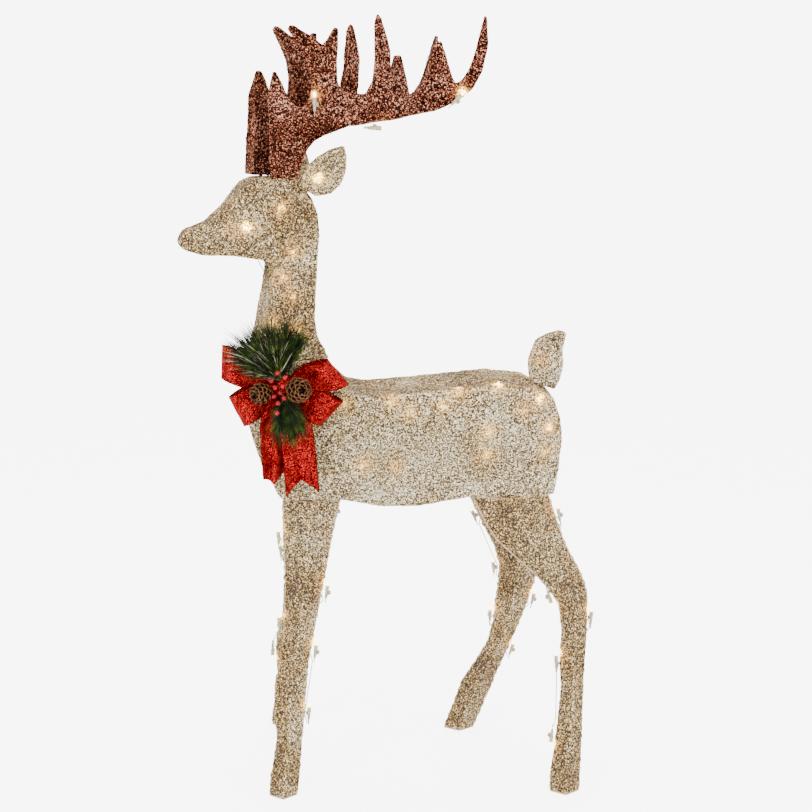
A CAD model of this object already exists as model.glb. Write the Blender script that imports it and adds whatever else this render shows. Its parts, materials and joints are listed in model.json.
"""Looks of the light-up yard reindeer: glitter thread, bow, pine pick and lit bulbs round the CAD frame."""
import json
import math
import random

import bmesh
import bpy
import numpy as np
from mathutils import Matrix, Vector, kdtree
from mathutils.bvhtree import BVHTree


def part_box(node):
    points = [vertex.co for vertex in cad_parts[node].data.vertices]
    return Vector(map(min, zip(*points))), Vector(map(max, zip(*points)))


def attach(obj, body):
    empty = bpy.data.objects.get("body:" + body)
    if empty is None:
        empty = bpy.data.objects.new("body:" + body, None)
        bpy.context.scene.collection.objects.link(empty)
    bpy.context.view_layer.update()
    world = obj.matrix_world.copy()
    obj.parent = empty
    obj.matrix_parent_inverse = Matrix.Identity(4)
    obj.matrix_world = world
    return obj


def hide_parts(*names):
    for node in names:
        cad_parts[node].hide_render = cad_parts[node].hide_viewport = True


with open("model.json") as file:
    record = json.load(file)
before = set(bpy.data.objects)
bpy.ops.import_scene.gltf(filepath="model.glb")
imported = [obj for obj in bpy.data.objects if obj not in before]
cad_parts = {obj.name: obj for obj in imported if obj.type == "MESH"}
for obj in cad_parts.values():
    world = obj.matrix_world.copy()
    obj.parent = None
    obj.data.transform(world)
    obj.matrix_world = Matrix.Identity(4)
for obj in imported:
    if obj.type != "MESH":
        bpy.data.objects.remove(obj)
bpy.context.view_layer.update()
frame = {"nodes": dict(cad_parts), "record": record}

NODES = frame["nodes"]
BODIES = frame["record"]["behaviour"]["bodies"]
BODY_OF = {node: body for body, nodes in BODIES.items() for node in nodes}

# ---------------------------------------------------------------- camera and light
TILT = math.radians(12.38)
TURN = math.radians(4.0)
forward = Vector((math.sin(TURN) * math.cos(TILT), math.cos(TURN) * math.cos(TILT), -math.sin(TILT)))
camera_data = bpy.data.cameras.new("camera")
camera_data.lens = 67.95
camera_data.sensor_width = 36
camera = bpy.data.objects.new("camera", camera_data)
camera.location = (-0.1733, -3.0051, 1.420)
camera.rotation_euler = forward.to_track_quat("-Z", "Y").to_euler()
bpy.context.scene.collection.objects.link(camera)
bpy.context.scene.camera = camera


def softbox(name, place, aim, size, power, colour=(1, 1, 1)):
    """Large soft lamp at a place, aimed at a point."""
    data = bpy.data.lights.new(name, "AREA")
    data.shape = "RECTANGLE"
    data.size, data.size_y = size
    data.energy = power
    data.color = colour
    lamp = bpy.data.objects.new(name, data)
    lamp.location = place
    lamp.rotation_euler = (Vector(aim) - Vector(place)).to_track_quat("-Z", "Y").to_euler()
    bpy.context.scene.collection.objects.link(lamp)


softbox("key_light", (-1.9, -2.6, 3.0), (0, 0, 0.8), (1.6, 1.6), 95)
softbox("fill_light", (2.8, -2.2, 1.6), (0, 0, 0.8), (2.0, 2.0), 40)
softbox("top_light", (0.2, 0.9, 3.4), (0, 0, 0.9), (2.0, 1.6), 45)


def brighter_seen(tree, socket, lit, seen):
    """Strength of a studio surface: soft on the figure, paper white where it is looked at."""
    path = tree.nodes.new("ShaderNodeLightPath")
    scale = tree.nodes.new("ShaderNodeMath")
    scale.operation = "MULTIPLY_ADD"
    scale.inputs[1].default_value = seen - lit
    scale.inputs[2].default_value = lit
    tree.links.new(path.outputs["Is Camera Ray"], scale.inputs[0])
    tree.links.new(scale.outputs[0], socket)


STUDIO_LIT, STUDIO_SEEN = 2.3, 7.5      # strength of the surroundings on the figure, and as looked at
FLOOR_LIT, FLOOR_SEEN = 0.35, 5.2
world = bpy.data.worlds.new("studio")
world.use_nodes = True
background = world.node_tree.nodes["Background"]
background.inputs["Color"].default_value = (1.0, 1.0, 1.0, 1)
brighter_seen(world.node_tree, background.inputs["Strength"], STUDIO_LIT, STUDIO_SEEN)
bpy.context.scene.world = world


# ---------------------------------------------------------------- materials
def linear(red, green, blue):
    """Linear colour of a display colour given from 0 to 255."""
    out = []
    for value in (red, green, blue):
        part = value / 255
        out.append(part / 12.92 if part <= 0.04045 else ((part + 0.055) / 1.055) ** 2.4)
    return (*out, 1.0)


class Shade:
    """A material under construction."""

    def __init__(self, name):
        self.material = bpy.data.materials.new(name)
        self.material.use_nodes = True
        self.tree = self.material.node_tree
        self.shader = self.tree.nodes["Principled BSDF"]
        coords = self.tree.nodes.new("ShaderNodeTexCoord")
        self.place = coords.outputs["Object"]

    def set(self, **values):
        for name, value in values.items():
            self.shader.inputs[name.replace("_", " ")].default_value = value
        return self

    def noise(self, scale, detail=2.0, rough=0.55, stretch=None, twist=0.0):
        node = self.tree.nodes.new("ShaderNodeTexNoise")
        node.inputs["Scale"].default_value = scale
        node.inputs["Detail"].default_value = detail
        node.inputs["Roughness"].default_value = rough
        node.inputs["Distortion"].default_value = twist
        place = self.place
        if stretch:
            shift = self.tree.nodes.new("ShaderNodeMapping")
            shift.inputs["Scale"].default_value = stretch
            self.tree.links.new(place, shift.inputs["Vector"])
            place = shift.outputs["Vector"]
        self.tree.links.new(place, node.inputs["Vector"])
        return node.outputs["Fac"]

    def ramp(self, value, stops):
        node = self.tree.nodes.new("ShaderNodeValToRGB")
        parts = node.color_ramp.elements
        while len(parts) < len(stops):
            parts.new(0.5)
        for part, (at, colour) in zip(parts, stops):
            part.position = at
            part.color = colour if len(colour) == 4 else (*colour, 1)
        self.tree.links.new(value, node.inputs["Fac"])
        return node.outputs["Color"]

    def math(self, how, first, second=0.0, clamp=False):
        node = self.tree.nodes.new("ShaderNodeMath")
        node.operation = how
        node.use_clamp = clamp
        for socket, value in zip(node.inputs, (first, second)):
            if isinstance(value, (int, float)):
                socket.default_value = value
            else:
                self.tree.links.new(value, socket)
        return node.outputs[0]

    def mix(self, how, amount, first, second):
        node = self.tree.nodes.new("ShaderNodeMix")
        node.data_type = "RGBA"
        node.blend_type = how
        for name, value in (("Factor", amount), ("A", first), ("B", second)):
            socket = [s for s in node.inputs if s.name == name and s.enabled][0]
            if isinstance(value, (int, float, tuple)):
                socket.default_value = value
            else:
                self.tree.links.new(value, socket)
        return [s for s in node.outputs if s.enabled][0]

    def attribute(self, name):
        node = self.tree.nodes.new("ShaderNodeAttribute")
        node.attribute_name = name
        split = self.tree.nodes.new("ShaderNodeSeparateColor")
        self.tree.links.new(node.outputs["Color"], split.inputs["Color"])
        return split.outputs["Red"], split.outputs["Green"], split.outputs["Blue"]

    def bump(self, height, strength=0.4, distance=0.001):
        node = self.tree.nodes.new("ShaderNodeBump")
        node.inputs["Strength"].default_value = strength
        node.inputs["Distance"].default_value = distance
        self.tree.links.new(height, node.inputs["Height"])
        self.tree.links.new(node.outputs["Normal"], self.shader.inputs["Normal"])
        return self

    def link(self, name, value):
        self.tree.links.new(value, self.shader.inputs[name])
        return self


def glitter_thread(name, dark, brown, tan, pale, bright, lift, warm, cool, metal=0.2):
    """Glitter thread: flakes from dark gaps to bright glints, browner or paler by patches."""
    shade = Shade(name)
    glow, panel, edge = shade.attribute("wind")
    grain = shade.noise(370, 1.6, 0.55)
    coarse = shade.noise(150, 1.0, 0.5)
    value = shade.math("ADD", shade.math("MULTIPLY", grain, 0.82), shade.math("MULTIPLY", coarse, 0.18))
    value = shade.math("ADD", shade.math("MULTIPLY", value, 1.2), lift - 0.1)
    patches = shade.math("SUBTRACT", shade.noise(11, 2.0, 0.5), 0.5)
    value = shade.math("ADD", value, shade.math("MULTIPLY", patches, 0.16))
    value = shade.math("SUBTRACT", value, shade.math("MULTIPLY", panel, 0.026))
    value = shade.math("ADD", value, shade.math("MULTIPLY", edge, 0.035))
    value = shade.math("ADD", value, shade.math("MULTIPLY", glow, 0.05))
    colour = shade.ramp(value, [(0.36, linear(*dark)), (0.44, linear(*brown)), (0.50, linear(*tan)),
                                (0.548, linear(*pale)), (0.595, linear(*bright))])
    hue = shade.math("ADD", shade.math("MULTIPLY", patches, -2.6), shade.math("MULTIPLY", panel, 0.40))
    hue = shade.math("ADD", hue, 0.52, clamp=True)
    tint = shade.mix("MIX", hue, cool, warm)
    colour = shade.mix("MULTIPLY", 1.0, colour, tint)
    gold = shade.math("MULTIPLY", glow, 0.85, clamp=True)
    colour = shade.mix("MULTIPLY", gold, colour, (1.0, 0.72, 0.33, 1))
    shade.link("Base Color", colour)
    spark = shade.math("MULTIPLY", shade.math("SUBTRACT", value, 0.42), 60.0, clamp=False)
    glint = shade.math("MULTIPLY", shade.math("POWER", glow, 22.0), shade.math("MAXIMUM", spark, 0.4))
    stain = shade.math("MULTIPLY", shade.math("POWER", glow, 3.0), 0.14)
    shade.link("Emission Strength", shade.math("ADD", glint, stain))
    shade.set(Emission_Color=(1.0, 0.66, 0.16, 1), Roughness=0.40, Metallic=metal)
    shade.set(Specular_IOR_Level=0.6 - 0.5 * metal)
    shade.bump(shade.noise(900, 2.0, 0.6), 0.7, 0.0012)
    return shade.material


CHAMPAGNE = dict(dark=(30, 21, 9), brown=(78, 60, 28), tan=(134, 110, 64), pale=(190, 168, 118),
                 bright=(255, 250, 230), warm=(1.0, 0.82, 0.54, 1), cool=(1.0, 0.98, 0.95, 1))
BRONZE = dict(dark=(9, 4, 3), brown=(32, 10, 4), tan=(76, 28, 11), pale=(116, 55, 32),
              bright=(214, 162, 136), warm=(1.0, 0.76, 0.58, 1), cool=(0.96, 0.94, 0.96, 1), metal=0.85)
skin_gold = glitter_thread("skin_gold", lift=-0.045, **CHAMPAGNE)
thread_gold = glitter_thread("thread_gold", lift=0.015, **CHAMPAGNE)
skin_bronze = glitter_thread("skin_bronze", lift=-0.034, **BRONZE)
thread_bronze = glitter_thread("thread_bronze", lift=-0.012, **BRONZE)


def painted_wire(name, low, high):
    """Satin paint with a slight orange peel and worn, paler spots."""
    shade = Shade(name)
    shade.link("Base Color", shade.ramp(shade.noise(260, 3.0), [(0.35, linear(*low)), (0.65, linear(*high))]))
    shade.link("Roughness", shade.math("ADD", shade.math("MULTIPLY", shade.noise(500), 0.25), 0.25))
    return shade.set(Metallic=0.55).bump(shade.noise(700), 0.25, 0.0004).material


wire_gold = painted_wire("wire_gold", (150, 120, 84), (206, 180, 142))
wire_bronze = painted_wire("wire_bronze", (70, 40, 28), (126, 78, 56))


def moulded(name, low, high, rough=0.35, through=0.0):
    """Moulded plastic, slightly cloudy."""
    shade = Shade(name)
    shade.link("Base Color", shade.ramp(shade.noise(120, 3.0), [(0.3, linear(*low)), (0.7, linear(*high))]))
    shade.link("Roughness", shade.math("ADD", shade.math("MULTIPLY", shade.noise(300), 0.2), rough - 0.1))
    shade.set(Subsurface_Weight=through, Subsurface_Scale=0.004)
    return shade.bump(shade.noise(420), 0.12, 0.0004).material


husk_plastic = moulded("husk_plastic", (146, 136, 108), (186, 176, 146), 0.32, 0.25)
lead_plastic = moulded("lead_plastic", (104, 92, 72), (146, 130, 104), 0.40)
connector_plastic = moulded("connector_plastic", (204, 200, 190), (232, 228, 218), 0.42)

bulb_shade = Shade("lit_bulb")
heat = bulb_shade.noise(180, 1.0)
bulb_shade.link("Base Color", bulb_shade.ramp(heat, [
    (0.35, linear(255, 214, 140)), (0.65, linear(255, 238, 200))]))
bulb_shade.link("Emission Color", bulb_shade.ramp(heat, [(0.3, (1.0, 0.62, 0.12)), (0.7, (1.0, 0.76, 0.28))]))
lit_bulb = bulb_shade.set(Emission_Strength=10.0, Roughness=0.12).material

ribbon_shade = Shade("ribbon_glitter")
flakes = ribbon_shade.noise(520, 1.8, 0.6)
sheen = ribbon_shade.noise(70, 2.0, 0.5)
level = ribbon_shade.math("ADD", flakes, ribbon_shade.math("MULTIPLY", sheen, 0.16))
ribbon_shade.link("Base Color", ribbon_shade.ramp(level, [
    (0.44, linear(20, 0, 2)), (0.53, linear(70, 0, 4)), (0.62, linear(114, 1, 8)),
    (0.71, linear(232, 62, 52))]))
ribbon_shade.set(Roughness=0.42, Metallic=0.8, Specular_IOR_Level=0.1, Specular_Tint=(0.8, 0.04, 0.05, 1))
ribbon_red = ribbon_shade.bump(ribbon_shade.noise(1100, 2.0), 0.7, 0.0010).material
edge_shade = Shade("ribbon_edge")
edge_shade.link("Base Color", edge_shade.ramp(edge_shade.noise(800), [
    (0.4, linear(50, 0, 2)), (0.6, linear(104, 6, 6))]))
edge_shade.set(Roughness=0.5, Metallic=0.6, Specular_IOR_Level=0.1, Specular_Tint=(0.8, 0.05, 0.05, 1))
ribbon_edge = edge_shade.bump(edge_shade.noise(1500), 0.5, 0.0004).material

needle_shade = Shade("pine_needle")
needle_tone = needle_shade.noise(60, 3.0, 0.6)
needle_shade.link("Base Color", needle_shade.ramp(needle_tone, [
    (0.32, linear(4, 7, 1)), (0.48, linear(16, 28, 3)),
    (0.60, linear(38, 60, 6)), (0.72, linear(96, 104, 22))]))
needle_shade.set(Roughness=0.5, Specular_IOR_Level=0.15)
pine_needle = needle_shade.bump(needle_shade.noise(900), 0.3, 0.0003).material
pale_shade = Shade("pale_needle")
pale_shade.link("Base Color", pale_shade.ramp(pale_shade.noise(90), [
    (0.35, linear(96, 96, 60)), (0.65, linear(190, 182, 150))]))
pale_needle = pale_shade.set(Roughness=0.5).bump(pale_shade.noise(900), 0.3, 0.0003).material

cone_shade = Shade("cone_scale")
lip, ring, rib = cone_shade.attribute("wind")
cone_tone = cone_shade.math("ADD", cone_shade.math("MULTIPLY", lip, 0.45),
                            cone_shade.math("MULTIPLY", cone_shade.noise(240, 3.0, 0.6), 0.55))
cone_shade.link("Base Color", cone_shade.ramp(cone_tone, [
    (0.18, linear(4, 1, 0)), (0.40, linear(24, 9, 3)),
    (0.62, linear(52, 27, 11)), (0.85, linear(138, 90, 50))]))
cone_shade.set(Roughness=0.62, Specular_IOR_Level=0.15)
cone_grain = cone_shade.noise(500, 3.0, 0.6, stretch=(1, 1, 1))
cone_scale = cone_shade.bump(cone_grain, 0.5, 0.0006).material

berry_shade = Shade("berry_skin")
berry_shade.link("Base Color", berry_shade.ramp(berry_shade.noise(160, 2.0), [
    (0.35, linear(84, 0, 10)), (0.65, linear(158, 0, 20))]))
berry_shade.set(Roughness=0.24, Specular_IOR_Level=0.2, Coat_Weight=0.12, Coat_Roughness=0.05)
berry_skin = berry_shade.bump(berry_shade.noise(260), 0.12, 0.0004).material
twig_shade = Shade("twig_bark")
twig_shade.link("Base Color", twig_shade.ramp(twig_shade.noise(300, 3.0), [
    (0.35, linear(40, 26, 14)), (0.65, linear(84, 58, 34))]))
twig_bark = twig_shade.set(Roughness=0.8).bump(twig_shade.noise(600), 0.5, 0.0006).material

floor_shade = Shade("floor_paper")
floor_shade.link("Base Color", floor_shade.ramp(floor_shade.noise(3, 2.0), [
    (0.3, (0.93, 0.93, 0.93)), (0.7, (0.96, 0.96, 0.96))]))
floor_shade.set(Roughness=0.9, Emission_Color=(1, 1, 1, 1))
brighter_seen(floor_shade.tree, floor_shade.shader.inputs["Emission Strength"], FLOOR_LIT, FLOOR_SEEN)
floor_paper = floor_shade.material


# ---------------------------------------------------------------- mesh helpers
def piece(name, points, faces, material, body, smooth=True, wind=None, uv=None):
    """New mesh object that rides on a body."""
    mesh = bpy.data.meshes.new(name)
    mesh.from_pydata([tuple(p) for p in points], [], [tuple(f) for f in faces])
    mesh.validate()
    if smooth:
        mesh.polygons.foreach_set("use_smooth", [True] * len(mesh.polygons))
    if wind is not None:
        layer = mesh.attributes.new("wind", "FLOAT_COLOR", "POINT")
        data = np.ones((len(points), 4), np.float32)
        data[:, :3] = wind
        layer.data.foreach_set("color", data.ravel())
    if uv is not None:
        layer = mesh.uv_layers.new(name="OFBake")
        layer.data.foreach_set("uv", np.asarray(uv, np.float32).ravel())
    mesh.materials.append(material)
    made = bpy.data.objects.new(name, mesh)
    bpy.context.scene.collection.objects.link(made)
    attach(made, body)
    return made


def islands(node):
    """Separate lumps of a CAD node, each as an array of its points."""
    mesh = NODES[node].data
    seen = np.array([v.co[:] for v in mesh.vertices])
    keys = {}
    same = np.zeros(len(seen), int)
    for number, point in enumerate(np.round(seen, 6)):
        same[number] = keys.setdefault(tuple(point), number)
    parent = list(range(len(seen)))

    def root(item):
        while parent[item] != item:
            parent[item] = parent[parent[item]]
            item = parent[item]
        return item

    for edge in mesh.edges:
        first, second = root(same[edge.vertices[0]]), root(same[edge.vertices[1]])
        parent[first] = second
    groups = {}
    for number in range(len(seen)):
        groups.setdefault(root(same[number]), []).append(number)
    return [seen[group] for group in groups.values()]


def middles(node):
    """Centre of each lump of a CAD node."""
    return [(lump.min(0) + lump.max(0)) / 2 for lump in islands(node)]


# ---------------------------------------------------------------- wound sections
signs = (-1, 0, 1)
RAYS = [Vector((x, y, z)).normalized() for x in signs for y in signs for z in signs if x or y or z]
PROBE = 0.0006          # a ray starts this far outside the face it tests
FAR_AWAY = 4.0
SHARP = 0.42            # angle between faces, in radians, that makes a ridge
RIDGE_STEP = 0.003
MOUTH_WIDEST = 0.012    # a wider opening than this is a gap between pieces and is closed over
MOUTH_RADIUS = 0.0075
MOUTH_RIM = 0.004


def outer_shell(node, voxel):
    """Fine mesh of a wound section's outside, with its mouths and its sharp edges."""
    shell = bmesh.new()
    shell.from_mesh(NODES[node].data)
    bmesh.ops.remove_doubles(shell, verts=shell.verts, dist=2e-6)
    tree = BVHTree.FromBMesh(shell)
    inside = []
    for face in shell.faces:
        normal = face.normal
        start = face.calc_center_median() + normal * PROBE
        outward = [ray for ray in RAYS if ray.dot(normal) > 0.05]
        free = sum(1 for ray in outward if tree.ray_cast(start, ray, FAR_AWAY)[0] is None)
        if free < 2:
            inside.append(face)
    bmesh.ops.delete(shell, geom=inside, context="FACES")
    loose = [v for v in shell.verts if not v.link_faces]
    bmesh.ops.delete(shell, geom=loose, context="VERTS")
    rims = [edge for edge in shell.edges if edge.is_boundary]
    left = set(rims)
    mouths = []
    while left:
        loop, queue = [], [left.pop()]
        while queue:
            edge = queue.pop()
            loop.append(edge)
            for vert in edge.verts:
                for other in vert.link_edges:
                    if other in left:
                        left.remove(other)
                        queue.append(other)
        places = np.array([v.co[:] for edge in loop for v in edge.verts])
        middle = (places.min(0) + places.max(0)) / 2
        radius = float(np.linalg.norm(places - middle, axis=1).max())
        if radius < MOUTH_WIDEST:
            mouths.append((middle, min(radius, MOUTH_RADIUS)))
    bmesh.ops.holes_fill(shell, edges=rims, sides=0)
    bmesh.ops.triangulate(shell, faces=shell.faces)
    ridges = []
    for edge in shell.edges:
        if len(edge.link_faces) == 2 and edge.calc_face_angle(0) > SHARP:
            first, second = (np.array(v.co[:]) for v in edge.verts)
            steps = max(1, int(np.linalg.norm(second - first) / RIDGE_STEP))
            ridges += [first + (second - first) * k / steps for k in range(steps + 1)]
    ridges = [p for p in ridges if all(np.linalg.norm(p - m) > r + MOUTH_RIM for m, r in mouths)]
    mesh = bpy.data.meshes.new("shell")
    shell.to_mesh(mesh)
    shell.free()
    holder = bpy.data.objects.new("shell", mesh)
    bpy.context.scene.collection.objects.link(holder)
    remesh = holder.modifiers.new("remesh", "REMESH")
    remesh.mode = "VOXEL"
    remesh.voxel_size = voxel
    done = bpy.data.meshes.new_from_object(holder.evaluated_get(bpy.context.evaluated_depsgraph_get()))
    bpy.data.objects.remove(holder)
    return done, mouths, ridges


def nearest(points, targets, far=1.0):
    """Distance from each point to the nearest target."""
    if not len(targets):
        return np.full(len(points), far)
    tree = kdtree.KDTree(len(targets))
    for number, target in enumerate(targets):
        tree.insert(target, number)
    tree.balance()
    return np.array([tree.find(point)[2] for point in points])


# how much darker and browner than the rest a section's thread is
TONE = {"torso": -0.6, "head": 0.6, "tail": -1.0, "leg_front_left": 0.35, "leg_front_right": 0.35,
        "leg_rear_left": 0.6, "leg_rear_right": 0.6}
NOSE_CAP = 0.034        # the tip of the snout is wound apart and is browner
GLOW_CORE = 0.008       # the thread glows in full this close to a bulb, and fades over GLOW_FADE
GLOW_FADE = 0.017
RIDGE_WIDE = 0.0022


def wind_values(points, normals, ridges, bulbs, broad, tone, nose):
    """Glow of the bulbs behind, how dark and brown the panel is, and closeness to a ridge."""
    glow = np.exp(-(np.clip(nearest(points, bulbs) - GLOW_CORE, 0, None) / GLOW_FADE) ** 2)
    panel = np.clip(1.15 - np.abs(normals @ np.array(broad)) * 1.5, 0, 1)
    panel = np.clip(panel + 0.5 * np.clip(-normals[:, 0], 0, 1) * (np.abs(normals[:, 1]) > 0.3), 0, 1)
    panel = panel + 1.6 * np.clip(normals[:, 2] - 0.3, 0, 1) + tone
    if nose is not None:
        panel = panel + 0.9 * (np.linalg.norm(points - nose, axis=1) < NOSE_CAP)
    edge = np.exp(-(nearest(points, ridges) / RIDGE_WIDE) ** 2)
    return np.stack([glow, panel, edge], 1)


SECTIONS = {
    # node: (voxel, share of the surface that thread covers, thread width, broad side, run of the thread)
    "torso_wrap": (0.0042, 0.62, 0.00115, (0, 1, 0), None),
    "head_wrap": (0.0036, 0.62, 0.00110, (math.sin(0.244), -math.cos(0.244), 0), None),
    "tail_wrap": (0.0022, 0.60, 0.00100, (0, 1, 0), (1, 0, 0.3)),
    "ear_left_wrap": (0.0018, 0.55, 0.00100, None, (0.4, 0.2, -0.8)),
    "ear_right_wrap": (0.0018, 0.55, 0.00100, None, (0.4, 0.2, -0.8)),
    "antler_left_wrap": (0.0020, 0.55, 0.00100, (0, 1, 0), (0.75, 0, 0.65)),
    "antler_right_wrap": (0.0020, 0.55, 0.00100, (0.47, -0.88, 0), (0.65, 0.35, 0.65)),
    "leg_front_left_wrap": (0.0030, 0.62, 0.00105, (0, 1, 0), (0.85, 0, 0.5)),
    "leg_front_right_wrap": (0.0030, 0.62, 0.00105, (0, 1, 0), (0.85, 0, 0.5)),
    "leg_rear_left_wrap": (0.0030, 0.62, 0.00105, (0, 1, 0), (0.85, 0, 0.5)),
    "leg_rear_right_wrap": (0.0030, 0.62, 0.00105, (0, 1, 0), (0.85, 0, 0.5)),
}


STEP = 0.0075           # length of one straight bit of thread
MOST_STEPS = 29500      # bits of thread on one section at most
STRAY = 0.35            # share of the strands that ignore the run of the section


def lay_threads(tree, points, faces, area, cover, wide, run, mouths, rng):
    """Thread laid over a surface: seeded runs of straight bits that hug it."""
    length_total = area * cover / wide
    share = np.cumsum(area_of(points, faces))
    share /= share[-1]
    strands = []
    laid = 0.0
    segments = 0
    while laid < length_total and segments < MOST_STEPS:
        face = faces[int(np.searchsorted(share, rng.random()))]
        corners = [points[k] for k in face[:3]]
        first, second = sorted((rng.random(), rng.random()))
        start = corners[0] * first + corners[1] * (second - first) + corners[2] * (1 - second)
        place, normal, _, _ = tree.find_nearest(start)
        if run is None or rng.random() < STRAY:
            way = Vector((rng.gauss(0, 1), rng.gauss(0, 1), rng.gauss(0, 1)))
        else:
            way = Vector(run) * rng.choice((-1, 1))
            way += Vector((rng.gauss(0, 0.35), rng.gauss(0, 0.35), rng.gauss(0, 0.35)))
            if rng.random() < 0.4:
                way = Vector((way.x, way.y, -way.z))
        way = (way - normal * way.dot(normal)).normalized()
        strand = [(place, normal)]
        for _ in range(rng.randint(5, 22)):
            ahead = place + way * STEP
            hit, turned, _, _ = tree.find_nearest(ahead)
            if hit is None or (hit - place).length < STEP * 0.35:
                break
            if any((hit - Vector(m)).length < r + 0.0012 for m, r in mouths):
                break
            way = (hit - place) - turned * (hit - place).dot(turned)
            way.normalize()
            place, normal = hit, turned
            strand.append((place, normal))
        if len(strand) > 2:
            strands.append(strand)
            laid += STEP * (len(strand) - 1)
            segments += len(strand) - 1
    return strands


def area_of(points, faces):
    """Area of each triangle or quad."""
    corners = [np.array([points[face[k]] for face in faces]) for k in (0, 1, 2)]
    half = np.linalg.norm(np.cross(corners[1] - corners[0], corners[2] - corners[0]), axis=1) / 2
    return half * np.array([2 if len(face) == 4 else 1 for face in faces])


def strand_mesh(strands, wide, rng):
    """Points, faces, uv and run of every strand, as three-sided prisms that taper shut."""
    points, faces, uvs, normals = [], [], [], []
    rows = int(math.ceil(math.sqrt(len(strands) * 1.6))) or 1
    columns = int(math.ceil(len(strands) / rows)) or 1
    for number, strand in enumerate(strands):
        row, column = number % rows, number // rows
        size = wide * rng.uniform(0.75, 1.3)
        rise = rng.uniform(0.0001, 0.0009)
        base = len(points)
        for k, (place, normal) in enumerate(strand):
            ahead = strand[min(k + 1, len(strand) - 1)][0] - strand[max(k - 1, 0)][0]
            across = normal.cross(ahead).normalized() * (size / 2)
            shut = 0.25 if k in (0, len(strand) - 1) else 1.0
            low = place + normal * (rise - 0.0003)
            points += [low + across * shut, low + normal * size * 0.75 * shut, low - across * shut]
            normals += [normal] * 3
        last = len(strand) - 1
        for k in range(last):
            one = base + 3 * k
            for a, b in ((0, 1), (1, 2), (2, 0)):
                faces.append((one + a, one + b, one + 3 + b, one + 3 + a))
                left = (column + 0.02 + 0.96 * k / last) / columns
                right = (column + 0.02 + 0.96 * (k + 1) / last) / columns
                low_v = (row + 0.05 + 0.3 * a) / rows
                high_v = (row + 0.33 + 0.3 * a) / rows
                uvs += [(left, low_v), (left, high_v), (right, high_v), (right, low_v)]
        faces += [(base + 2, base + 1, base), (base + 3 * last, base + 3 * last + 1, base + 3 * last + 2)]
        uvs += [((column + 0.5) / columns, (row + 0.5) / rows)] * 6
    return points, faces, uvs, normals


SINK = 0.0006           # the skin lies this far under the CAD surface, and the strands stand on it
for number, (node, (voxel, cover, wide, broad, run)) in enumerate(SECTIONS.items()):
    body = BODY_OF[node]
    bronze = node.startswith("antler")
    mesh, mouths, ridges = outer_shell(node, voxel)
    rng = random.Random(41 + number)
    points = np.array([v.co[:] for v in mesh.vertices])
    normals = np.array([v.normal[:] for v in mesh.vertices])
    bulbs = middles(f"{body}_bulbs") if f"{body}_bulbs" in NODES else []
    if body in ("ear_left", "ear_right", "tail"):
        low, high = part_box(node)
        middle = (low + high) / 2
        bulbs = [np.array(middle[:]) - np.array([0.012, 0, 0.0 if body == "tail" else 0.012])]
    if broad is None:
        flat = points - points.mean(0)
        broad = tuple(np.linalg.svd(flat, full_matrices=False)[2][2])
    tone = TONE.get(body, 0.0)
    nose = points[np.argmin(points[:, 0])] if body == "head" else None
    values = wind_values(points, normals, ridges, bulbs, broad, tone, nose)
    x, y, z = points.T
    uneven = np.sin(x * 210 + z * 130) * np.sin(y * 190 - z * 170)
    jitter = np.array([rng.uniform(-1, 1) for _ in points])
    rise = 0.0003 * uneven + 0.00015 * jitter + 0.0009 * values[:, 2]
    inner = points - normals * SINK + normals * rise[:, None]
    faces = [tuple(p.vertices) for p in mesh.polygons]
    kept = []
    for face in faces:
        middle = inner[list(face)].mean(0)
        if all(np.linalg.norm(middle - m) > r for m, r in mouths):
            kept.append(face)
    skin = piece(f"{body}_wound_skin", inner, kept, skin_bronze if bronze else skin_gold, body,
                 wind=values)
    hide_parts(node)
    tree = BVHTree.FromPolygons([Vector(p) for p in inner], faces)
    area = float(area_of(inner, faces).sum())
    strands = lay_threads(tree, inner, faces, area, cover, wide, run, mouths, rng)
    spots, quads, uvs, up = strand_mesh(strands, wide, rng)
    spots = np.array([s[:] for s in spots])
    up = np.array([u[:] for u in up])
    values = wind_values(spots, up, ridges, bulbs, broad, tone, nose)
    piece(f"{body}_threads", spots, quads, thread_bronze if bronze else thread_gold, body,
          smooth=False, wind=values, uv=uvs)
    bpy.data.meshes.remove(mesh)


# ---------------------------------------------------------------- husks of the lights outside the thread
HUSK = [
    (0.0000, 0.0014), (0.0010, 0.0022), (0.0045, 0.0026), (0.0050, 0.0031), (0.0060, 0.0031), (0.0066, 0.0028),
    (0.0160, 0.0034), (0.0166, 0.0041), (0.0186, 0.0041), (0.0192, 0.0036), (0.0244, 0.0038), (0.0250, 0.0043),
    (0.0262, 0.0043), (0.0264, 0.0036), (0.0232, 0.0027), (0.0200, 0.0005),
]
BULB_AHEAD = 0.0316     # from the base of a husk to the middle of its bulb


def turned(base, way, profile, sides, points, faces):
    """Adds a shape turned about an axis: the profile is (along, radius)."""
    side = way.orthogonal().normalized()
    other = way.cross(side)
    first = len(points)
    for along, radius in profile:
        for k in range(sides):
            angle = 2 * math.pi * k / sides
            points.append(base + way * along + (side * math.cos(angle) + other * math.sin(angle)) * radius)
    for ring in range(len(profile) - 1):
        for k in range(sides):
            a, b = first + ring * sides + k, first + ring * sides + (k + 1) % sides
            faces.append((a, b, b + sides, a + sides))
    faces.append(tuple(first + k for k in reversed(range(sides))))
    faces.append(tuple(first + (len(profile) - 1) * sides + k for k in range(sides)))


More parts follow.
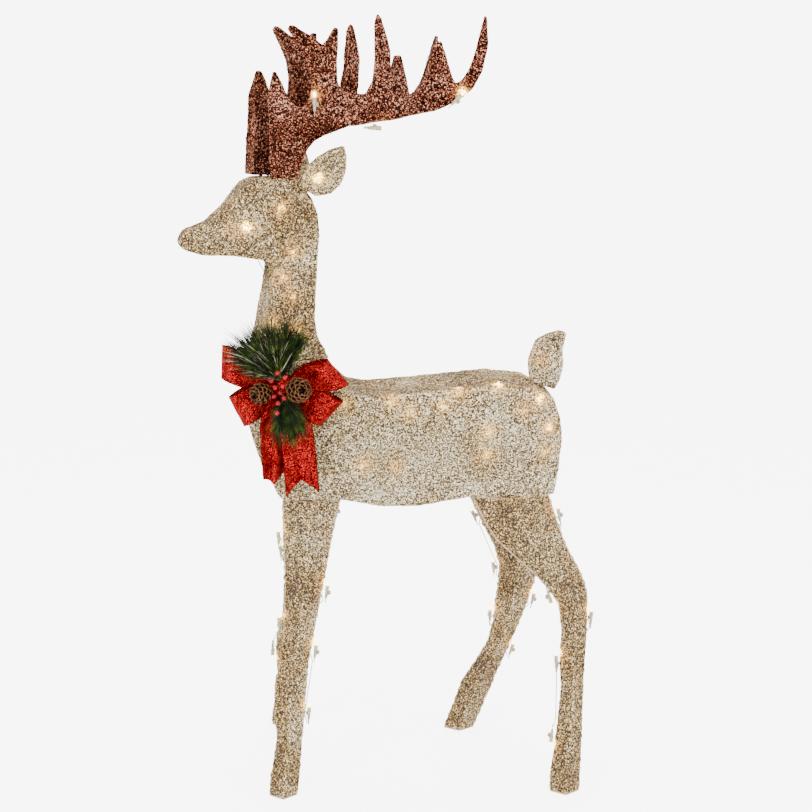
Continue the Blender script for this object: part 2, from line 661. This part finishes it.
def block(middle, axes, half, points, faces):
    """Adds a box with cut corners about a middle, along three axes."""
    corner = 0.35
    first = len(points)
    for deep in (-1, 1):
        for u, v in ((-1, -1 + corner), (-1 + corner, -1), (1 - corner, -1), (1, -1 + corner),
                     (1, 1 - corner), (1 - corner, 1), (-1 + corner, 1), (-1, 1 - corner)):
            points.append(middle + axes[0] * half[0] * u + axes[1] * half[1] * v + axes[2] * half[2] * deep)
    faces.append(tuple(first + k for k in reversed(range(8))))
    faces.append(tuple(first + 8 + k for k in range(8)))
    for k in range(8):
        faces.append((first + k, first + (k + 1) % 8, first + 8 + (k + 1) % 8, first + 8 + k))


def outside_lights(body):
    """Base, direction and clip side of each husk on a body."""
    bulbs = middles(f"{body}_bulbs")
    found, rest = [], []
    for lump in islands(f"{body}_sockets"):
        middle = (lump.min(0) + lump.max(0)) / 2
        gaps = [np.linalg.norm(middle - bulb) for bulb in bulbs]
        if min(gaps) > 0.03:
            rest.append(lump)
            continue
        bulb = Vector(bulbs[int(np.argmin(gaps))])
        near = np.array([p for p in lump])
        along = (near - np.array(bulb[:]))
        far = near[np.argsort(-np.linalg.norm(along, axis=1))[:12]].mean(0)
        way = (bulb - Vector(far)).normalized()
        base = bulb - way * BULB_AHEAD
        spread = near - np.array(base[:])
        radial = spread - np.outer(spread @ np.array(way[:]), np.array(way[:]))
        clip = Vector(radial[np.argmax(np.linalg.norm(radial, axis=1))]).normalized()
        found.append((base, way, clip))
    return found, rest


for body in ("leg_front_left", "leg_front_right", "leg_rear_left", "leg_rear_right",
             "antler_left", "antler_right"):
    lights, plugs = outside_lights(body)
    points, faces = [], []
    for base, way, clip in lights:
        turned(base, way, HUSK, 20, points, faces)
        third = way.cross(clip)
        block(base + way * 0.0130 + clip * 0.0052, (clip, third, way), (0.0018, 0.0022, 0.0042), points, faces)
        block(base + way * 0.0130 + clip * 0.0072, (clip, third, way), (0.0008, 0.0034, 0.0030), points, faces)
        for turn in (-1, 1):
            foot = base - way * 0.009 + third * 0.0008 * turn
            turned(foot, way, [(0, 0.0007), (0.010, 0.0007)], 8, points, faces)
    for lump in plugs:
        low, high = Vector(lump.min(0)), Vector(lump.max(0))
        middle = (low + high) / 2
        top = Vector((middle.x, middle.y, high.z))
        tall = high.z - low.z
        profile = [(0, 0.0024), (0.0008, 0.0030)]
        profile += [(tall * share, radius) for share, radius in (
            (0.47, 0.0030), (0.48, 0.0046), (0.50, 0.0050), (0.60, 0.0050), (0.62, 0.0044), (0.66, 0.0044),
            (0.68, 0.0050), (0.93, 0.0047), (1.0, 0.0036))]
        turned(top, Vector((0, 0, -1)), profile, 24, points, faces)
    husks = piece(f"{body}_husks", points, faces, husk_plastic, body)
    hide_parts(f"{body}_sockets")


# ---------------------------------------------------------------- bow of wired ribbon
KNOT = Vector((-0.2088, -0.1244, 0.8300))
RIBBON = 0.063


def ribbon(name, line, widths, notch=0.0, folds=0.0):
    """Strip of ribbon along a line: each place has a middle, an across direction and a width."""
    across_steps = 18
    points, faces = [], []
    total = len(line)
    for k, (middle, across, face) in enumerate(line):
        share = k / (total - 1)
        width = widths[k]
        squeeze = 1 - width / max(widths)
        for j in range(across_steps + 1):
            v = j / across_steps * 2 - 1
            ripple = folds * squeeze * math.sin(v * 7.5 + 0.6) + 0.0018 * math.sin(v * 4.5 + share * 15)
            if notch:
                ripple += 0.0065 * math.sin(v * 5.2 + 1.1) * share
            cut = 0.0
            if notch:
                cut = notch * (1 - abs(v)) * max(0, (share - 0.8) / 0.2)
            point = middle + across * (v * width / 2) + face * ripple
            if notch and k > 0:
                back = (line[k][0] - line[k - 1][0]).normalized()
                point -= back * cut
            points.append(point)
    wide = across_steps + 1
    for k in range(total - 1):
        for j in range(across_steps):
            a = k * wide + j
            faces.append((a, a + 1, a + wide + 1, a + wide))
    strip = piece(name, points, faces, ribbon_red, "torso")
    edge_points, edge_faces = [], []
    for j in (0, across_steps):
        for k in range(total - 1):
            first, second = Vector(points[k * wide + j]), Vector(points[(k + 1) * wide + j])
            way = second - first
            if way.length > 1e-6:
                turned(first, way.normalized(), [(0, 0.0008), (way.length, 0.0008)], 6, edge_points, edge_faces)
    edges = piece(name + "_edges", edge_points, edge_faces, ribbon_edge, "torso")
    thick = strip.modifiers.new("thick", "SOLIDIFY")
    thick.thickness = 0.0006
    thick.offset = 0
    return strip


TOWARD = Vector((0, -1, 0))
rng = random.Random(7)
# each loop: its reach, its tilt as seen from the deer's left, its depth, and the ribbon's lean
for number, (reach, tilt, deep, lean) in enumerate(((0.126, 157, 0.036, 20), (0.104, 209, 0.034, -3),
                                                    (0.112, 13, 0.040, 27), (0.112, -31, 0.034, -12))):
    out = Vector((math.cos(math.radians(tilt)), 0, math.sin(math.radians(tilt))))
    side = Vector((0, 1, 0)).cross(out)
    across = (side * math.cos(math.radians(lean)) + out * math.sin(math.radians(lean))).normalized()
    line, widths = [], []
    for k in range(49):
        t = k / 48
        along = 0.010 + (reach - 0.012) * math.sin(math.pi * t) ** 0.75
        depth = -math.sin(2 * math.pi * t) * deep / 2 + 0.003 * math.sin(6 * math.pi * t)
        face = TOWARD
        line.append((KNOT + out * along - TOWARD * depth, across, face))
        grow = min(1.0, (along - 0.008) / (reach * 0.48))
        widths.append(0.018 + (RIBBON - 0.018) * (grow * grow * (3 - 2 * grow)))
    ribbon(f"bow_loop_{number + 1}", line, widths, folds=0.006)
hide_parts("bow_loops")

for number, (start, end, wide, twist, sway, notch) in enumerate((
        ((-0.012, -0.008), (-0.018, -0.172), 0.058, 44, 0.006, -0.016),
        ((0.012, -0.008), (0.036, -0.212), RIBBON, 4, 0.010, 0.030))):
    line, widths = [], []
    for k in range(41):
        t = k / 40
        x = start[0] + (end[0] - start[0]) * (t ** 0.6)
        z = start[1] + (end[1] - start[1]) * t
        y = -0.010 - sway * math.sin(t * 6.0) - 0.010 * t
        angle = math.radians(twist * t)
        across = Vector((math.cos(angle), math.sin(angle), 0.06))
        line.append((KNOT + Vector((x, y, z)), across.normalized(), TOWARD))
        grow = min(1.0, t / 0.38)
        widths.append(0.016 + (wide - 0.016) * (grow * grow * (3 - 2 * grow)))
    ribbon(f"bow_tail_{number + 1}", line, widths, notch=notch, folds=0.005)
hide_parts("bow_tails")

points, faces = [], []
for k in range(7):
    angle = k / 7 * 2 * math.pi
    turned(KNOT + Vector((math.cos(angle) * 0.004, -0.004, math.sin(angle) * 0.004)) - Vector((0, 0, 0.017)),
           Vector((0.03 * math.sin(angle * 3), -0.05, 1)).normalized(),
           [(0, 0.003), (0.006, 0.0065), (0.017, 0.0052), (0.028, 0.0065), (0.034, 0.003)], 12, points, faces)
turned(KNOT + Vector((0, 0.042, 0)), TOWARD, [(0, 0.0012), (0.05, 0.0012)], 8, points, faces)
knot = piece("bow_knot", points, faces, ribbon_red, "torso")
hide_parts("bow_tie")


# ---------------------------------------------------------------- pine sprays
def spray(name, node, base, tips, per_twig, needle, rng, pale=0.0):
    """Twigs from a base to their tips, each with needles all round."""
    points, faces, bark, bark_faces, pale_points, pale_faces = [], [], [], [], [], []
    for tip in tips:
        base_point, tip_point = Vector(base), Vector(tip)
        sag = Vector((0, -0.004, 0.004))
        previous = base_point
        for k in range(1, 9):
            t = k / 8
            now = base_point.lerp(tip_point, t) + sag * math.sin(math.pi * t)
            way = now - previous
            turned(previous, way.normalized(), [(0, 0.0011), (way.length, 0.0010)], 6, bark, bark_faces)
            previous = now
        way = (tip_point - base_point).normalized()
        side = way.cross(TOWARD).normalized()
        for k in range(per_twig):
            t = rng.uniform(0.04, 1.0)
            root = base_point.lerp(tip_point, t) + sag * math.sin(math.pi * t)
            turn = rng.uniform(0, 2 * math.pi)
            radial = side * math.cos(turn) + TOWARD * math.sin(turn) * 0.6
            open_angle = math.radians(rng.uniform(10, 38))
            if t > 0.93:
                open_angle *= 0.5
            lead = way * math.cos(open_angle) + radial * math.sin(open_angle)
            long = needle * rng.uniform(0.65, 1.1)
            bend = Vector((rng.gauss(0, 1), rng.gauss(0, 1), rng.gauss(0, 1) - 0.6)) * 0.05 * long
            wide = rng.uniform(0.0005, 0.0009)
            flat = lead.cross(Vector((rng.gauss(0, 1), rng.gauss(0, 1), rng.gauss(0, 1)))).normalized() * wide
            deep = lead.cross(flat).normalized() * wide * 0.6
            ghost = rng.random() < pale and tip_point.x < base_point.x
            target, fill = (pale_points, pale_faces) if ghost else (points, faces)
            first = len(target)
            for s, size in ((0, 1.0), (0.5, 0.9), (1.0, 0.12)):
                middle = root + lead * long * s + bend * s * s
                target += [middle + flat * size, middle + deep * size, middle - flat * size]
            for s in (0, 3):
                for a, b in ((0, 1), (1, 2), (2, 0)):
                    fill.append((first + s + a, first + s + b, first + s + 3 + b, first + s + 3 + a))
    needles = piece(name + "_needles", points, faces, pine_needle, "torso", smooth=False)
    twigs = piece(name + "_twigs", bark, bark_faces, twig_bark, "torso")
    if pale_points:
        piece(name + "_tips", pale_points, pale_faces, pale_needle, "torso", smooth=False)
    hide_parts(node)
    return twigs


def offset(x, y, z):
    """Place given from the knot."""
    return KNOT + Vector((x, y, z))


rng = random.Random(19)
spray("pine_top", "pine_upper", offset(-0.005, -0.018, 0.012),
      [offset(-0.070, -0.030, 0.060), offset(-0.062, -0.026, 0.076), offset(-0.044, -0.030, 0.086),
       offset(-0.018, -0.022, 0.090), offset(0.008, -0.030, 0.088), offset(0.024, -0.026, 0.076),
       offset(-0.050, -0.036, 0.048), offset(-0.012, -0.038, 0.060), offset(-0.034, -0.040, 0.064)],
      300, 0.061, rng, pale=0.10)
low_twigs = spray("pine_low", "pine_lower", offset(0.000, -0.020, -0.012),
      [offset(-0.010, -0.034, -0.072), offset(0.012, -0.036, -0.078), offset(0.030, -0.034, -0.072),
       offset(0.000, -0.042, -0.056), offset(0.020, -0.042, -0.052)],
      210, 0.046, rng)
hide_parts("pick_stem")


# ---------------------------------------------------------------- pine cones
CONE_SCALES = 46
GOLDEN_TURN = 2.39996   # radians from one scale to the next, as plants grow them


def pinecone(name, node, middle, axis, radius, rng):
    """Open cone: scales in the spiral of a real one, each a cupped blade with a thick pale lip."""
    points, faces, values = [], [], []
    axis = Vector(axis).normalized()
    side = axis.orthogonal().normalized()
    other = axis.cross(side)
    turned(Vector(middle) - axis * radius * 0.9, axis,
           [(0, radius * 0.15), (radius * 0.5, radius * 0.36), (radius * 1.2, radius * 0.30),
            (radius * 1.8, radius * 0.08)], 12, points, faces)
    values += [(0.1, 0, 0)] * len(points)
    for k in range(CONE_SCALES):
        t = (k + 0.5) / CONE_SCALES
        angle = k * GOLDEN_TURN
        out = side * math.cos(angle) + other * math.sin(angle)
        height = (-0.75 + 1.55 * t) * radius
        girth = math.sin(math.pi * min(1, 0.22 + t * 0.76)) ** 0.7
        lean = math.radians(100 - 66 * t)
        way = (out * math.sin(lean) + axis * math.cos(lean)).normalized()
        root = Vector(middle) + axis * height * 0.80 + out * radius * 0.12
        long = radius * (0.36 + 0.56 * girth) * rng.uniform(0.90, 1.06)
        across = axis.cross(out).normalized()
        wide = radius * (0.17 + 0.17 * girth)
        lift = way.cross(across).normalized()
        if lift.dot(axis) < 0:
            lift = -lift
        first = len(points)
        rows = ((0.0, 0.30, 0.0, 0.0), (0.5, 0.70, 0.04, 0.12), (0.86, 1.0, 0.16, 0.55), (1.0, 0.70, 0.26, 1.0))
        for along, spread, cup, tone in rows:
            for v in (-1, -0.4, 0.4, 1):
                for thick in (1, -1):
                    body_thick = radius * (0.02 if along < 0.8 else 0.05)
                    curve = (v * v) * cup * radius * 0.9
                    reach = long * (along - 0.10 * v * v * (along > 0.8))
                    points.append(root + way * reach + across * wide * spread * v +
                                  lift * (curve + body_thick * thick))
                    values.append((tone, t, 0))
        for row in range(3):
            for j in range(3):
                a = first + row * 8 + j * 2
                faces.append((a, a + 2, a + 10, a + 8))
                faces.append((a + 1, a + 9, a + 11, a + 3))
            a = first + row * 8
            faces.append((a, a + 8, a + 9, a + 1))
            a = first + row * 8 + 6
            faces.append((a, a + 1, a + 9, a + 8))
        a = first + 24
        for j in range(3):
            faces.append((a + j * 2, a + j * 2 + 2, a + j * 2 + 3, a + j * 2 + 1))
    cone = piece(name, points, faces, cone_scale, "torso", wind=np.array(values))
    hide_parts(node)


for name, axis in (("pinecone_right", (0.25, -1, 0.15)), ("pinecone_left", (-0.5, -1, -0.1))):
    low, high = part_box(name)
    middle = (low + high) / 2
    pinecone(name + "_scales", name, middle, axis, (high.x - low.x) / 2, random.Random(len(name)))

# ---------------------------------------------------------------- berries
points, faces = [], []
rng = random.Random(3)
for lump in islands("berries"):
    middle = Vector((lump.min(0) + lump.max(0)) / 2)
    radius = float(lump.max(0)[0] - lump.min(0)[0]) / 2
    way = Vector((rng.gauss(0, 0.4), -1, rng.gauss(0, 0.4))).normalized()
    profile = [(-radius, radius * 0.05)]
    for k in range(1, 14):
        angle = math.pi * k / 14
        profile.append((-math.cos(angle) * radius * 1.04, math.sin(angle) * radius * 0.98))
    profile += [(radius * 1.0, radius * 0.10), (radius * 0.93, radius * 0.02)]
    turned(middle, way, profile, 20, points, faces)
    turned(middle - way * radius * 2.2, way, [(0, 0.0005), (radius * 1.4, 0.0005)], 6, points, faces)
fruit = piece("berry_cluster", points, faces, berry_skin, "torso")
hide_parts("berries")

# ---------------------------------------------------------------- CAD pieces that stay
for node, thing in NODES.items():
    if node.endswith("_bulbs"):
        chosen = lit_bulb
    elif node.endswith("_lead"):
        chosen = lead_plastic
    elif node == "torso_lead_sockets":
        chosen = connector_plastic
    elif node.endswith("_sockets"):
        chosen = husk_plastic
    elif node.startswith("antler") and node.endswith("_frame"):
        chosen = wire_bronze
    elif node.startswith("ear") and node.endswith("_frame"):
        chosen = skin_gold
    elif node.endswith("_frame") or node.endswith("_receivers"):
        chosen = wire_gold
    else:
        continue
    for place in range(max(1, len(thing.material_slots))):
        if len(thing.data.materials) <= place:
            thing.data.materials.append(chosen)
        else:
            thing.material_slots[place].material = chosen

# ---------------------------------------------------------------- floor
points = [(-7, -5, 0), (7, -5, 0), (7, 9, 0), (-7, 9, 0)]
mesh = bpy.data.meshes.new("floor")
mesh.from_pydata(points, [], [(0, 1, 2, 3)])
mesh.materials.append(floor_paper)
floor = bpy.data.objects.new("floor", mesh)
bpy.context.scene.collection.objects.link(floor)
